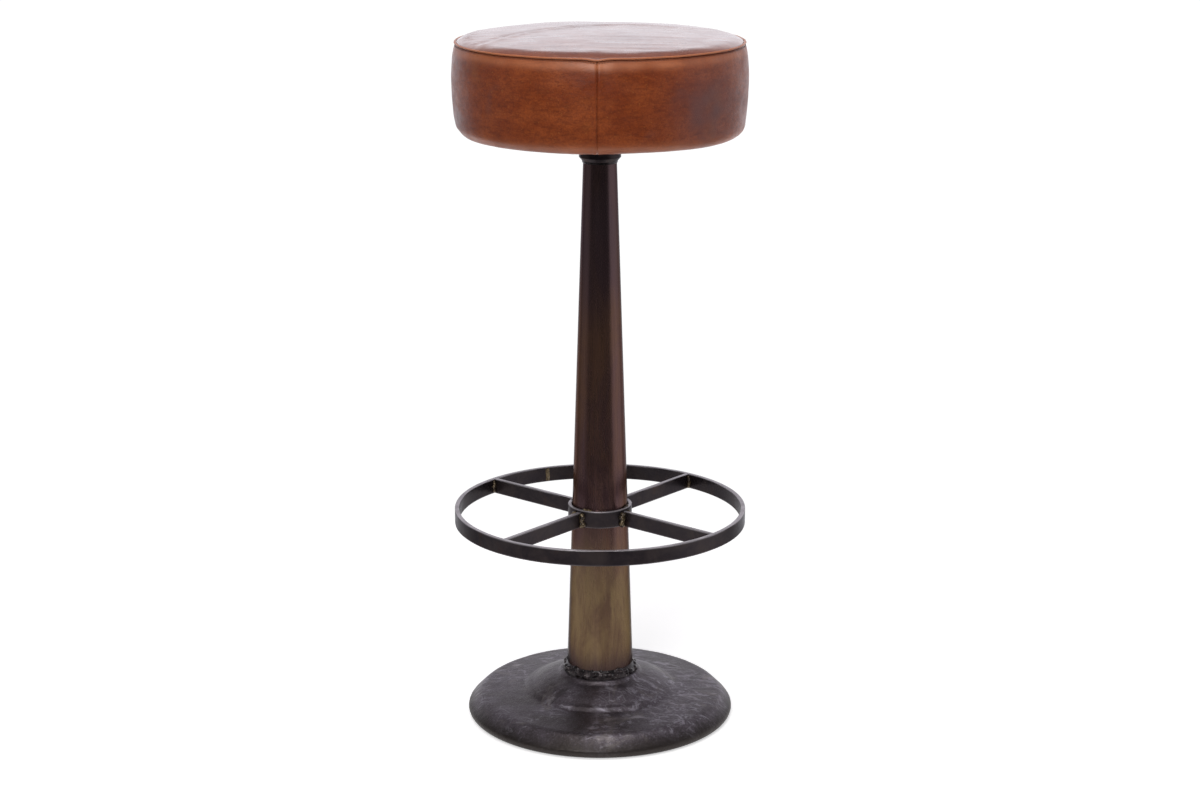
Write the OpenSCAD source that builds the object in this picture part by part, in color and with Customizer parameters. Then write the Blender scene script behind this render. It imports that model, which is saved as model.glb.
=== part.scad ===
// Bar stool: cast iron base, tapered steel column, ring footrest on four flat spokes and a
// round padded leather seat that swivels. The origin is the middle of the footprint on the
// floor, +Z is up, and the seat's front seam faces -Y.

/* [Seat] */
// Height from the floor to the crown of the seat
stool_h = 800; // [660:5:960]
// Diameter of the seat at its widest
seat_d = 330; // [270:5:400]
// Height of the seat from its underside to the top seam
seat_h = 102; // [80:1:130]
// Rise of the crown above the top seam
crown_h = 10.5; // [4:0.5:18]
// How much the top seam lies inside the widest radius
seam_inset = 5; // [2:0.5:9]
// How much the foot of the side lies inside the widest radius
side_inset = 3.2; // [1:0.2:8]
// Radius of the rounded bottom edge
edge_round = 13; // [6:1:20]
// Where the seam halves of the side band meet, in degrees from straight ahead
band_turn = -1.1; // [-10:0.1:10]

/* [Cover] */
// Thickness of the leather
leather_t = 1.4; // [1:0.1:2]
// Radius of the lip along the top seam
lip_r = 1.6; // [1:0.1:2.5]
// Thickness of the cloth under the seat
cover_t = 0.5; // [0.3:0.1:1]
// Width of the leather turned under the board
turn_under = 31; // [20:1:50]
// Width of the cloth's lap on the leather
cover_lap = 12; // [9:1:18]
// Number of staples round the cloth
staple_count = 36; // [12:1:60]
// Width of a staple's crown
staple_w = 10; // [6:1:12]
// Thickness of a staple's wire
staple_wire = 0.6; // [0.4:0.1:1]
// Length of a staple's legs
staple_leg = 6; // [4:1:10]

/* [Seat board] */
// Thickness of the plywood board
board_t = 15; // [12:1:24]
// How much the board lies inside the widest radius
board_inset = 14; // [10:1:20]
// Diameter of the steel plate under the board
plate_d = 150; // [110:5:190]
// Thickness of the steel plate
plate_t = 4; // [3:0.5:8]
// Distance from the plate's edge to the middle of a bolt
bolt_edge = 17; // [12:1:30]
// Number of bolts
bolt_count = 4; // [3:1:8]
// Diameter of a bolt
bolt_d = 6; // [5:1:8]
// Length of a bolt below its head
bolt_l = 20; // [16:1:22]
// Width of a bolt's head across its flats
bolt_head_w = 10; // [8:1:13]
// Height of a bolt's head
bolt_head_h = 4; // [3:0.5:6]
// Diameter of a bolt's washer
bolt_washer_d = 13; // [11:1:18]
// Thickness of a bolt's washer
bolt_washer_t = 1.2; // [0.8:0.1:2]
// Diameter of a tee nut's flange
tee_flange_d = 19; // [15:1:24]
// Thickness of a tee nut's flange
tee_flange_t = 1.5; // [1:0.1:2]
// Length of a tee nut's barrel
tee_barrel_l = 9; // [6:1:12]
// Wall of a tee nut's barrel
tee_wall = 1; // [0.8:0.1:1.5]

/* [Swivel] */
// Diameter of the spindle
spindle_d = 16; // [12:1:20]
// Wall of the two bushes
bush_wall = 3; // [2:0.5:4]
// Length of a bush
bush_l = 18; // [12:1:28]
// How far the housing's head stands out past the column's top
head_overhang = 4.65; // [2:0.05:9]
// Height of the housing's head
head_h = 12.5; // [9:0.5:18]
// Height of the taper under the head
head_taper_h = 5.5; // [3:0.5:8]
// Depth of the housing inside the column
housing_l = 60; // [40:5:100]
// How much the thrust washer lies inside the head
thrust_inset = 3.7; // [1:0.1:6]
// Thickness of the thrust washer
thrust_t = 2; // [1:0.5:4]
// Wall of the hub under the plate
hub_wall = 7; // [4:0.5:10]
// Height of the hub
hub_h = 14.4; // [8:0.2:30]
// Thickness of the washer under the housing
keeper_t = 1.6; // [1:0.1:3]
// Thickness of the circlip
circlip_t = 1.2; // [1:0.1:2]
// Width of the circlip's band
circlip_w = 3; // [2:0.5:4]
// Opening of the circlip, in degrees
circlip_gap = 50; // [20:5:90]

/* [Column] */
// Diameter at the foot
column_foot_d = 77.6; // [65:0.2:95]
// Diameter at the top
column_top_d = 38.1; // [31:0.1:48]
// Wall of the tube, measured level
column_wall = 2.5; // [2:0.1:3]
// Height of the weld round the foot
foot_weld_h = 11; // [6:1:16]
// Width of the weld round the foot
foot_weld_w = 6.2; // [4:0.2:9]

/* [Footrest] */
// Height of the bars' top edge above the floor
footrest_h = 253; // [180:1:330]
// Diameter over the ring
footrest_d = 337; // [280:1:400]
// Height of the flat bar
bar_h = 17.6; // [12:0.2:25]
// Thickness of the flat bar
bar_t = 5; // [4:0.5:8]
// Number of spokes
spoke_count = 4; // [3:1:6]
// Direction of the first spoke, in degrees from +X
spoke_turn = 50; // [0:5:85]
// Height of the collar round the column
collar_h = 19.6; // [14:0.2:30]
// How much the collar's top stands above the bars
collar_rise = 2.6; // [0:0.2:6]
// Wall of the collar
collar_wall = 4; // [3:0.5:8]
// Radius of the welds at the ends of the spokes
spoke_weld_r = 3.2; // [2:0.2:5]
// Direction of the joint where the ring's ends are welded
ring_joint_turn = 113; // [100:1:130]
// Radius of the tack welds that hold the collar
tack_r = 3; // [2:0.2:4]

/* [Base] */
// Diameter of the base
base_d = 311.5; // [260:0.5:380]
// Height of the base at its rim
rim_h = 25.5; // [22:0.5:34]
// Lower rounding of the rim
rim_low_round = 6.2; // [4:0.2:7]
// Upper rounding of the rim
rim_top_round = 12; // [8:1:16]
// Width of the rim's foot
rim_foot_w = 17; // [15:1:24]
// Diameter of the step round the dome
step_d = 172; // [150:1:190]
// Rise from the rim to the step
shelf_rise = 4.5; // [1:0.5:8]
// Height of the step
step_h = 5; // [3:0.5:8]
// Height of the boss that the column stands on
boss_h = 52; // [46:1:70]
// Ledge of the boss outside the column
boss_ledge = 8.2; // [7:0.2:12]
// Wall of the casting
base_wall = 9; // [7:1:12]
// Number of ribs under the casting
rib_count = 6; // [3:1:8]
// Thickness of a rib
rib_t = 8; // [5:1:12]
// Height of the spigot inside the column
spigot_h = 12; // [6:1:25]
// Width of the rubber ring under the rim
pad_w = 7; // [5:0.5:9]
// Depth of the rubber ring's groove
pad_groove = 2; // [1:0.5:3]
// How much the rubber ring stands out of its groove
pad_proud = 1; // [0.5:0.1:2]

/* [Fits] */
// Radial clearance of the spindle in its bushes
running_gap = 0.03; // [0.02:0.01:0.08]
// Gap between pieces that turn past each other
swivel_gap = 0.1; // [0.05:0.05:0.3]
// Gap between pieces that slip together
slip_gap = 0.1; // [0.05:0.05:0.2]
// Gap between the collar and the column at the collar's lower edge
collar_gap = 0.25; // [0.1:0.05:0.6]
// Clearance of a bolt in its holes
bolt_gap = 0.3; // [0.1:0.1:0.5]

/* [Hidden] */
$fn = 96;
fine = 360;
cast_colour = "#4a464a";
rubber_colour = "#1c1b1c";
tube_colour = "#3f2f2b";
bar_colour = "#2b2626";
weld_colour = "#4b4033";
steel_colour = "#8a8a88";
bronze_colour = "#a8803c";
zinc_colour = "#b8bcc0";
leather_colour = "#7a3f22";
top_leather_colour = "#8d5a44";
ply_colour = "#c79a62";
foam_colour = "#e6dcb8";
cloth_colour = "#232323";

seat_r = seat_d / 2;
seam_r = seat_r - seam_inset;
seam_z = stool_h - crown_h;
seat_low_z = seam_z - seat_h;
board_z = seat_low_z + cover_t + leather_t;
board_top_z = board_z + board_t;
board_r = seat_r - board_inset;
turn_r = board_r - turn_under;
cover_r = turn_r + cover_lap;
staple_circle_r = turn_r + cover_lap / 2;
side_low_r = seat_r - side_inset;
round_z = board_z - leather_t + edge_round;
wide_z = seam_z - 0.37 * seat_h;
band_top_z = seam_z - lip_r - slip_gap;
panel_r = seam_r - lip_r - slip_gap;

plate_top_z = board_z - cover_t;
plate_z = plate_top_z - plate_t;
bolt_r = bolt_d / 2;
bolt_hole_r = bolt_r + bolt_gap;
thread_r = bolt_r - 0.05;
bolt_seat_z = plate_z - bolt_washer_t;
tee_barrel_r = bolt_r + tee_wall;

hub_z = plate_z - hub_h;
thrust_z = hub_z - swivel_gap - thrust_t;
column_top_z = thrust_z - head_h;
housing_z = column_top_z - housing_l;
keeper_z = housing_z - swivel_gap - keeper_t;
circlip_z = keeper_z - slip_gap / 2 - circlip_t;
spindle_r = spindle_d / 2;
hub_r = spindle_r + hub_wall;
spindle_end = 4;
groove_depth = 0.6;
bush_r = spindle_r + running_gap + bush_wall;

column_foot_r = column_foot_d / 2;
column_top_r = column_top_d / 2;
head_r = column_top_r + head_overhang;
plug_r = column_top_r - column_wall - slip_gap;

collar_z = footrest_h + collar_rise - collar_h;
bar_z = footrest_h - bar_h;
collar_in_r = column_r(collar_z) + collar_gap;
collar_r = collar_in_r + collar_wall;
ring_in_r = footrest_d / 2 - bar_t;
spoke_names = [for (i = [1:spoke_count]) str("spoke_", i)];

base_r = base_d / 2;
step_r = step_d / 2;
shelf_z = rim_h + shelf_rise;
boss_r = column_foot_r + boss_ledge;
cavity_r = base_r - rim_foot_w;
pad_mid_r = (cavity_r + base_r - rim_low_round) / 2;
spigot_r = column_r(boss_h + spigot_h) - column_wall - slip_gap;

// Radius of the column at a height
function column_r(z) =
    column_foot_r + (column_top_r - column_foot_r) * (z - boss_h) / (column_top_z - boss_h);

// Points along an arc, from one angle to another
function arc(mid_r, mid_z, radius, from, to, steps = 8) =
    [for (i = [0:steps]) let (a = from + (to - from) * i / steps)
        [mid_r + radius * cos(a), mid_z + radius * sin(a)]];

// Points along a curve from a to c that leans towards b
function bend(a, b, c, steps = 8) =
    [for (i = [0:steps]) let (t = i / steps)
        (1 - t) * (1 - t) * a + 2 * t * (1 - t) * b + t * t * c];

// Radius of the seat's side at a height above the bottom rounding
function side_r(z) =
    z < wide_z
        ? seat_r - side_inset * pow((wide_z - z) / (wide_z - round_z), 2)
        : seat_r - seam_inset * pow((z - wide_z) / (seam_z - wide_z), 2);

// Height of the seat's top at a radius
function crown_z(r) = seam_z + crown_h * (1 - pow(r / seam_r, 2.6));

// Points up the seat's side, moved in by a thickness
function side_points(inset, top_z) =
    concat(
        arc(side_low_r - edge_round, round_z, edge_round - inset, -90, 0, 8),
        [for (i = [1:12]) let (z = round_z + (top_z - round_z) * i / 12) [side_r(z) - inset, z]]
    );

// Points across the seat's top from the rim to the middle, moved down by a thickness
function top_points(from_r, inset) =
    [for (i = [0:14]) let (r = from_r * (1 - i / 14)) [r, crown_z(r) - inset]];

module turned(points) {
    rotate_extrude() polygon(points);
}

module ring(in_r, out_r, low_z, high_z) {
    turned([[in_r, low_z], [out_r, low_z], [out_r, high_z], [in_r, high_z]]);
}

// Places children round the axis
module around(count, first = 0) {
    for (i = [0:count - 1]) rotate([0, 0, first + 360 * i / count]) children();
}

// ---- stand ----

// Section of the hollow under the base, grown by an amount
function hollow_points(grow) = [
    [0, pad_proud - 1],
    [cavity_r + grow, pad_proud - 1],
    [cavity_r + grow, rim_h - base_wall - 9 + grow],
    [cavity_r - 8 + grow, rim_h - base_wall + grow],
    [step_r + 2, shelf_z - base_wall + grow],
    [boss_r, boss_h - base_wall - 6 + grow],
    [0, boss_h - base_wall - 6 + grow]
];

module base_casting() {
    low_mid_z = pad_proud + rim_low_round;
    slope_r = base_r - rim_low_round * (1 - cos(45));
    slope_z = low_mid_z + rim_low_round * sin(45);
    top_mid_z = rim_h - rim_top_round;
    top_mid_r = slope_r - (top_mid_z + rim_top_round * sin(45) - slope_z)
        - rim_top_round * cos(45);
    color(cast_colour)
    union() {
        difference() {
            turned(concat(
                [[0, pad_proud]],
                arc(base_r - rim_low_round, low_mid_z, rim_low_round, -90, 45),
                arc(top_mid_r, top_mid_z, rim_top_round, 45, 85),
                arc(step_r + 4, shelf_z + 4, 4, 270, 205),
                arc(step_r - 4, shelf_z + step_h - 3.5, 3.5, 20, 75),
                bend([step_r - 6, shelf_z + step_h + 0.4],
                    [(step_r + boss_r) / 2, (shelf_z + step_h + boss_h) / 2 + 1],
                    [boss_r + 1.5, boss_h - 4]),
                [[boss_r, boss_h - 1.2], [boss_r - 1.2, boss_h]],
                [[spigot_r, boss_h], [spigot_r, boss_h + spigot_h - 2]],
                [[spigot_r - 2, boss_h + spigot_h], [0, boss_h + spigot_h]]
            ));
            turned(hollow_points(0));
            ring(pad_mid_r - pad_w / 2, pad_mid_r + pad_w / 2, 0, pad_proud + pad_groove);
        }
        intersection() {
            turned(hollow_points(2));
            around(rib_count)
                translate([0, -rib_t / 2, pad_proud + pad_groove])
                cube([cavity_r + 1, rib_t, boss_h]);
        }
    }
}

module floor_ring() {
    color(rubber_colour)
    ring(pad_mid_r - pad_w / 2, pad_mid_r + pad_w / 2, 0, pad_proud + pad_groove);
}

module column_tube() {
    color(tube_colour)
    turned([
        [column_foot_r - column_wall, boss_h],
        [column_foot_r, boss_h],
        [column_top_r, column_top_z],
        [column_top_r - column_wall, column_top_z]
    ]);
}

module column_weld() {
    top_z = boss_h + foot_weld_h;
    color(weld_colour)
    turned(concat(
        [[column_foot_r, boss_h]],
        [for (i = [0:8]) let (a = 90 * i / 8, z = boss_h + foot_weld_h * sin(a))
            [column_r(z) + foot_weld_w * cos(a) * (1 - 0.15 * sin(2 * a)), z]]
    ));
}

module footrest_collar() {
    color(bar_colour)
    ring(collar_in_r, collar_r, collar_z, collar_z + collar_h);
}

module collar_tacks() {
    tack_z = collar_z + collar_h;
    tack_h = 2.4;
    color(weld_colour)
    difference() {
        around(spoke_count, spoke_turn + 14)
            translate([collar_in_r + 0.4, 0, tack_z]) cylinder(h = tack_h, r = tack_r);
        translate([0, 0, boss_h])
            cylinder(h = column_top_z - boss_h, r1 = column_foot_r, r2 = column_top_r);
    }
}

module spoke(index) {
    color(bar_colour)
    intersection() {
        ring(collar_r, ring_in_r, bar_z, footrest_h);
        rotate([0, 0, spoke_turn + 360 * (index - 1) / spoke_count])
            translate([0, -bar_t / 2, bar_z])
            cube([footrest_d / 2, bar_t, bar_h]);
    }
}

// Upright weld beads in the two corners of each spoke's end, at a radius
module spoke_beads(at_r) {
    around(spoke_count, spoke_turn)
        for (side = [-1, 1])
            translate([at_r, side * bar_t / 2, bar_z + 0.5])
            cylinder(h = bar_h - 1, r = spoke_weld_r);
}

module spoke_boxes() {
    around(spoke_count, spoke_turn)
        translate([0, -bar_t / 2, bar_z - 1])
        cube([footrest_d / 2, bar_t, bar_h + 2]);
}

module spoke_inner_welds() {
    color(weld_colour)
    difference() {
        spoke_beads(collar_r);
        translate([0, 0, bar_z - 2]) cylinder(h = bar_h + 4, r = collar_r);
        spoke_boxes();
    }
}

module spoke_outer_welds() {
    color(weld_colour)
    difference() {
        intersection() {
            spoke_beads(ring_in_r);
            translate([0, 0, bar_z - 2]) cylinder(h = bar_h + 4, r = ring_in_r, $fn = fine);
        }
        spoke_boxes();
    }
}

module footrest_ring() {
    color(bar_colour)
    ring(ring_in_r, footrest_d / 2, bar_z, footrest_h);
}

module ring_joint_weld() {
    bead_r = 3;
    bead_sink = 1.2;
    color(weld_colour)
    intersection() {
        rotate([0, 0, ring_joint_turn])
            translate([ring_in_r + bead_sink, 0, bar_z + 0.5])
            cylinder(h = bar_h - 1, r = bead_r);
        translate([0, 0, bar_z - 1]) cylinder(h = bar_h + 2, r = ring_in_r, $fn = fine);
    }
}

module swivel_housing() {
    color(bar_colour)
    turned([
        [bush_r, housing_z],
        [plug_r - 1, housing_z],
        [plug_r, housing_z + 1],
        [plug_r, column_top_z],
        [column_top_r, column_top_z],
        [head_r, column_top_z + head_taper_h],
        [head_r, thrust_z - 0.8],
        [head_r - 0.8, thrust_z],
        [bush_r, thrust_z]
    ]);
}

module housing_weld() {
    bead = 1.4;
    color(weld_colour)
    turned([
        [column_r(column_top_z - bead), column_top_z - bead],
        [column_top_r + bead * 0.8, column_top_z - bead * 0.4],
        [column_top_r + (head_r - column_top_r) * bead / head_taper_h, column_top_z + bead],
        [column_top_r, column_top_z]
    ]);
}

module upper_bush() {
    color(bronze_colour)
    ring(spindle_r + running_gap, bush_r, thrust_z - bush_l, thrust_z);
}

module lower_bush() {
    color(bronze_colour)
    ring(spindle_r + running_gap, bush_r, housing_z, housing_z + bush_l);
}

module thrust_washer() {
    color(bronze_colour)
    ring(spindle_r + 2 * swivel_gap, head_r - thrust_inset, thrust_z, thrust_z + thrust_t);
}

// ---- swivelling seat ----

module spindle() {
    end_z = circlip_z - spindle_end;
    color(steel_colour)
    turned([
        [0, end_z],
        [spindle_r - 1, end_z],
        [spindle_r, end_z + 1],
        [spindle_r, circlip_z],
        [spindle_r - groove_depth, circlip_z],
        [spindle_r - groove_depth, circlip_z + circlip_t],
        [spindle_r, circlip_z + circlip_t],
        [spindle_r, plate_top_z],
        [0, plate_top_z]
    ]);
}

module retaining_washer() {
    color(zinc_colour)
    ring(spindle_r + slip_gap, bush_r + 2, keeper_z, keeper_z + keeper_t);
}

module circlip() {
    in_r = spindle_r - groove_depth;
    color(steel_colour)
    rotate([0, 0, circlip_gap / 2 - 90])
        rotate_extrude(angle = 360 - circlip_gap)
        translate([in_r, circlip_z])
        square([circlip_w, circlip_t]);
}

module seat_hub() {
    color(bar_colour)
    turned([
        [spindle_r, hub_z],
        [hub_r - 1, hub_z],
        [hub_r, hub_z + 1],
        [hub_r, plate_z],
        [spindle_r, plate_z]
    ]);
}

module hub_weld() {
    leg = 3.5;
    color(weld_colour)
    turned([
        [hub_r, plate_z - leg],
        [hub_r + leg * 0.6, plate_z - leg * 0.6],
        [hub_r + leg, plate_z],
        [hub_r, plate_z]
    ]);
}

module bolt_places() {
    around(bolt_count, 45)
        translate([plate_d / 2 - bolt_edge, 0, 0])
        children();
}

module seat_plate() {
    color(bar_colour)
    difference() {
        turned([
            [spindle_r, plate_z],
            [plate_d / 2 - 0.6, plate_z],
            [plate_d / 2, plate_z + 0.6],
            [plate_d / 2, plate_top_z],
            [spindle_r, plate_top_z]
        ]);
        bolt_places() translate([0, 0, plate_z - 1]) cylinder(h = plate_t + 2, r = bolt_hole_r);
    }
}

module plate_bolts() {
    color(zinc_colour)
    bolt_places() {
        translate([0, 0, bolt_seat_z - bolt_head_h])
            cylinder(h = bolt_head_h, r = bolt_head_w / sqrt(3), $fn = 6);
        translate([0, 0, bolt_seat_z - 0.5]) cylinder(h = bolt_l + 0.5, r = thread_r);
    }
}

module bolt_washers() {
    color(zinc_colour)
    bolt_places() ring(bolt_hole_r, bolt_washer_d / 2, bolt_seat_z, plate_z);
}

module tee_nuts() {
    color(zinc_colour)
    bolt_places() {
        turned([
            [bolt_r, board_top_z - tee_barrel_l],
            [tee_barrel_r, board_top_z - tee_barrel_l],
            [tee_barrel_r, board_top_z],
            [tee_flange_d / 2, board_top_z],
            [tee_flange_d / 2, board_top_z + tee_flange_t],
            [bolt_r, board_top_z + tee_flange_t]
        ]);
    }
}

module seat_board() {
    color(ply_colour)
    difference() {
        turned([
            [0, board_z],
            [board_r - 1.5, board_z],
            [board_r, board_z + 1.5],
            [board_r, board_top_z],
            [0, board_top_z]
        ]);
        bolt_places()
            translate([0, 0, board_z - 1])
            cylinder(h = board_t + 2, r = tee_barrel_r + slip_gap);
    }
}

module foam_pad() {
    color(foam_colour)
    difference() {
        turned(concat(
            [[0, board_top_z], [board_r + slip_gap, board_top_z], [board_r + slip_gap, board_z]],
            side_points(leather_t, band_top_z - lip_r),
            top_points(panel_r - lip_r, leather_t)
        ));
        bolt_places()
            translate([0, 0, board_top_z - 1])
            cylinder(h = max(tee_flange_t + slip_gap, bolt_seat_z + bolt_l - board_top_z + slip_gap) + 1,
                r = tee_flange_d / 2 + slip_gap);
    }
}

// Half of the side band, from the edge turned under the board up to the top seam
module half_band(first) {
    color(leather_colour)
    rotate([0, 0, first + band_turn])
        rotate_extrude(angle = 180)
        polygon(concat(
            [[turn_r, board_z - leather_t]],
            side_points(0, band_top_z),
            [for (i = [12:-1:1]) let (z = round_z + (band_top_z - round_z) * i / 12)
                [side_r(z) - leather_t, z]],
            arc(side_low_r - edge_round, round_z, edge_round - leather_t, 0, -90, 8),
            [[turn_r, board_z]]
        ));
}

module side_band_left() {
    half_band(90);
}

module side_band_right() {
    half_band(-90);
}

module top_panel() {
    color(top_leather_colour)
    turned(concat(
        top_points(panel_r, 0),
        [for (i = [14:-1:0]) let (r = panel_r * (1 - i / 14)) [r, crown_z(r) - leather_t]]
    ));
}

module seam_lip() {
    color(leather_colour)
    rotate_extrude() translate([seam_r, seam_z]) circle(r = lip_r);
}

module under_cover() {
    lap_z = board_z - leather_t;
    in_r = turn_r - slip_gap;
    color(cloth_colour)
    difference() {
        turned([
            [0, plate_top_z],
            [in_r - cover_t, plate_top_z],
            [in_r - cover_t, lap_z - cover_t],
            [cover_r, lap_z - cover_t],
            [cover_r, lap_z],
            [in_r, lap_z],
            [in_r, board_z],
            [0, board_z]
        ]);
        bolt_places()
            translate([0, 0, plate_top_z - 1])
            cylinder(h = cover_t + 2, r = bolt_hole_r);
    }
}

module cover_staples() {
    crown_low = seat_low_z - staple_wire;
    color(zinc_colour)
    around(staple_count)
        translate([staple_circle_r - staple_wire / 2, -staple_w / 2, crown_low]) {
            cube([staple_wire, staple_w, staple_wire]);
            for (y = [0, staple_w - staple_wire])
                translate([0, y, 0]) cube([staple_wire, staple_wire, staple_leg]);
        }
}

base_casting();
floor_ring();
column_tube();
column_weld();
footrest_collar();
collar_tacks();
for (i = [1:spoke_count])
    spoke(i);
spoke_inner_welds();
spoke_outer_welds();
footrest_ring();
ring_joint_weld();
swivel_housing();
housing_weld();
upper_bush();
lower_bush();
thrust_washer();
spindle();
retaining_washer();
circlip();
seat_hub();
hub_weld();
seat_plate();
plate_bolts();
bolt_washers();
tee_nuts();
seat_board();
foam_pad();
side_band_left();
side_band_right();
top_panel();
seam_lip();
under_cover();
cover_staples();
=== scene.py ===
"""Looks of the bar stool: leather seat, patinated column, blackened footrest and cast iron base."""

import math
import random

import bmesh
import bpy
from mathutils import Matrix, Vector, noise


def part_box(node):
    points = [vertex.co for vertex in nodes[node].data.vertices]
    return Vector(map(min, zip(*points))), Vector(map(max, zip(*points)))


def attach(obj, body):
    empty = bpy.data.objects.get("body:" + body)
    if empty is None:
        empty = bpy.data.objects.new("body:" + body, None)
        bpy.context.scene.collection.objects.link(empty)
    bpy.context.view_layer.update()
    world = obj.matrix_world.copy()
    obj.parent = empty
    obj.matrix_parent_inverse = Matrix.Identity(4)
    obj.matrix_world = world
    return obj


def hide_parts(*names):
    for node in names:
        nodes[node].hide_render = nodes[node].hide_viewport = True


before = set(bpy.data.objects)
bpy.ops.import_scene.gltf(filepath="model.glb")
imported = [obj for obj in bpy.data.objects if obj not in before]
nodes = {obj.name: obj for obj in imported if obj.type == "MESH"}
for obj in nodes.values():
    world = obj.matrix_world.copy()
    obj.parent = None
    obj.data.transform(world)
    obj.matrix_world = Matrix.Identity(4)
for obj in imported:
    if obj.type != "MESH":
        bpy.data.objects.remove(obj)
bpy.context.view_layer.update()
random.seed(11)

MM = 0.001
TURN = 2 * math.pi

# ---- sizes taken from the frame ----
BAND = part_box("side_band_right")
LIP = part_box("seam_lip")
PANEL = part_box("top_panel")
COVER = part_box("under_cover")
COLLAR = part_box("footrest_collar")
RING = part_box("footrest_ring")
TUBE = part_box("column_tube")

LIP_R = (LIP[1].z - LIP[0].z) / 2
SEAM_R = LIP[1].x - LIP_R
SEAM_Z = LIP[0].z + LIP_R
SEAT_R = BAND[1].x
UNDER_Z = BAND[0].z
CROWN_Z = PANEL[1].z
COVER_R = COVER[1].x
BAR_H = RING[1].z - RING[0].z
RING_R = RING[1].x
FOOT_R = TUBE[1].x
BOARD_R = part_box("seat_board")[1].x
PLATE_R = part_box("seat_plate")[1].x

# ---- sizes of the looks ----
LEATHER = 1.3 * MM
SEAM_ALLOWANCE = 4 * MM
EDGE_ROUND = 13 * MM
SIDE_INSET = 3.2 * MM
TURN_R = COVER_R - 10 * MM
SHOULDER_R = 29 * MM
SHOULDER_SLOPE = math.radians(38)
DOME_SLOPE = math.radians(3.4)
FRONT_SEAM = math.radians(-91.1)
BAR_T = 5 * MM
EDGE_LOOP = 1.6 * MM
COLLAR_WALL = 4 * MM
TUBE_TOP_R = 19.05 * MM
WELD_TOP_Z = 62 * MM
TACK_TURN = math.radians(14)
HOOP_JOINT = math.radians(113)
UNDER_STEPS = 14
RIM_SOFT_Z = 12 * MM
RIM_SOFT_R = 118 * MM
RIM_SOFTENING = 5
CLOTH = 0.45 * MM
STAPLES = 36
BOLTS = 4
BOLT_CIRCLE_R = 58 * MM
BOLT_HOLE_R = 3.3 * MM
SPOKE_TURN = math.radians(50)
SPOKES = 4
STAIN = Vector((0.112, -0.118, 0.728))
ROOM_TINT = (0.95, 0.94, 1.0)


# ---------------------------------------------------------------- mesh helpers

def finish_piece(name, bm, smooth=True, sharp=math.radians(38)):
    """Makes an object of a bmesh, with its normals outwards and its sharp edges kept."""
    bmesh.ops.recalc_face_normals(bm, faces=bm.faces)
    mesh = bpy.data.meshes.new(name)
    bm.to_mesh(mesh)
    bm.free()
    piece = bpy.data.objects.new(name, mesh)
    bpy.context.scene.collection.objects.link(piece)
    if smooth:
        mesh.shade_smooth()
        mesh.set_sharp_from_angle(angle=sharp)
    return piece


def spun(points, steps, closed=False, angle=TURN, start=0.0):
    """A bmesh of a section, given as (radius, height) points, spun about the column's axis."""
    bm = bmesh.new()
    verts = [bm.verts.new((r * math.cos(start), r * math.sin(start), z)) for r, z in points]
    edges = [bm.edges.new(pair) for pair in zip(verts, verts[1:])]
    if closed:
        edges.append(bm.edges.new((verts[-1], verts[0])))
    full = abs(angle - TURN) < 1e-6
    bmesh.ops.spin(bm, geom=verts + edges, cent=(0, 0, 0), axis=(0, 0, 1), dvec=(0, 0, 0),
                   angle=angle, steps=steps, use_merge=full, use_normal_flip=False,
                   use_duplicate=False)
    bmesh.ops.remove_doubles(bm, verts=bm.verts, dist=0.001 * MM)
    return bm


def rounded_ring(inner, outer, low, high, soften, steps=256, segments=3):
    """A flat bar rolled into a ring, with its long edges softened."""
    section = [(inner, low), (outer, low), (outer, low + EDGE_LOOP), (outer, high - EDGE_LOOP),
               (outer, high), (inner, high), (inner, high - EDGE_LOOP), (inner, low + EDGE_LOOP)]
    bm = spun(section, steps, closed=True)
    long_edges = [e for e in bm.edges if e.calc_face_angle(0) > math.radians(60)]
    bmesh.ops.bevel(bm, geom=long_edges, offset=soften, segments=segments, profile=0.5,
                    affect="EDGES", material=-1)
    return bm


def lumps(bm, places, subdivisions=2):
    """Adds a blob at each (place, size along X, Y and Z, turn about Z)."""
    for place, size, turn in places:
        move = Matrix.Translation(place) @ Matrix.Rotation(turn, 4, "Z")
        move = move @ Matrix.Diagonal((*size, 1))
        bmesh.ops.create_icosphere(bm, subdivisions=subdivisions, radius=1, matrix=move)


def fused(piece, voxel, smoothing=0):
    """Fuses a piece's overlapping blobs into one skin, as a weld or a casting is."""
    remesh = piece.modifiers.new("fuse", "REMESH")
    remesh.mode = "VOXEL"
    remesh.voxel_size = voxel
    if smoothing:
        relax = piece.modifiers.new("relax", "SMOOTH")
        relax.iterations = smoothing
    baked = bpy.data.meshes.new_from_object(
        piece.evaluated_get(bpy.context.evaluated_depsgraph_get()))
    piece.modifiers.clear()
    piece.data = baked
    baked.shade_smooth()
    return piece


def bump_noise(place, size, seed=0.0):
    """Smooth noise from -1 to 1 with lumps of about the given size."""
    return noise.noise(Vector(place) / size + Vector((seed, seed * 1.7, -seed)))


def ridge(distance, width):
    """1 on a line and falling to 0 about a width away from it."""
    return math.exp(-(distance / width) ** 2)


def angle_apart(a, b):
    return (a - b + math.pi) % TURN - math.pi


# ---------------------------------------------------------------- material helpers

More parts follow.
